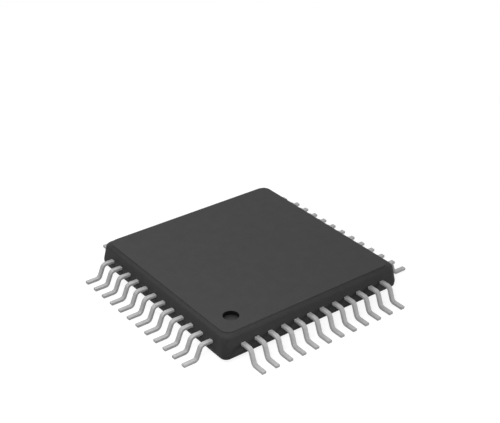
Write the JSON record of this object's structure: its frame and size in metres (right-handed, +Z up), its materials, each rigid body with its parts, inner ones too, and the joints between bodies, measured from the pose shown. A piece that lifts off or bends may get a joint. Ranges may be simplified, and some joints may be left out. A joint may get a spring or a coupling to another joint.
{
  "type": "quad flat pack chip",
  "caption": "Thin square surface-mount chip: black moulded body with a round index dot and gull-wing leads on all four sides.",
  "frame": {"origin": "centre of the seating plane, under the middle of the body, where the feet stand on the board", "axes": "+Z up from the board through the top face; the index dot is in the corner at -X -Y; lead 1 is next to it on the -Y side and the numbers run anticlockwise seen from above"},
  "size_m": [0.0088, 0.0088, 0.0009],
  "materials": {
    "moulding": "fine matte as moulded, filled epoxy",
    "lead": "satin matte tin plate over copper alloy",
    "paddle": "bare copper alloy",
    "adhesive": "cured silver-filled epoxy",
    "silicon": "polished silicon",
    "bond_wire": "drawn gold wire"
  },
  "bodies": {
    "root": {"body": "moulding", "lead_01": "lead", "lead_02": "lead", "lead_03": "lead", "lead_04": "lead", "lead_05": "lead", "lead_06": "lead", "lead_07": "lead", "lead_08": "lead", "lead_09": "lead", "lead_10": "lead", "lead_11": "lead", "lead_12": "lead", "lead_13": "lead", "lead_14": "lead", "lead_15": "lead", "lead_16": "lead", "lead_17": "lead", "lead_18": "lead", "lead_19": "lead", "lead_20": "lead", "lead_21": "lead", "lead_22": "lead", "lead_23": "lead", "lead_24": "lead", "lead_25": "lead", "lead_26": "lead", "lead_27": "lead", "lead_28": "lead", "lead_29": "lead", "lead_30": "lead", "lead_31": "lead", "lead_32": "lead", "lead_33": "lead", "lead_34": "lead", "lead_35": "lead", "lead_36": "lead", "lead_37": "lead", "lead_38": "lead", "lead_39": "lead", "lead_40": "lead", "lead_41": "lead", "lead_42": "lead", "lead_43": "lead", "lead_44": "lead", "lead_45": "lead", "lead_46": "lead", "lead_47": "lead", "lead_48": "lead", "die_paddle": "paddle", "die_attach": "adhesive", "die": "silicon", "bond_wires": "bond_wire"}
  },
  "joints": []
}
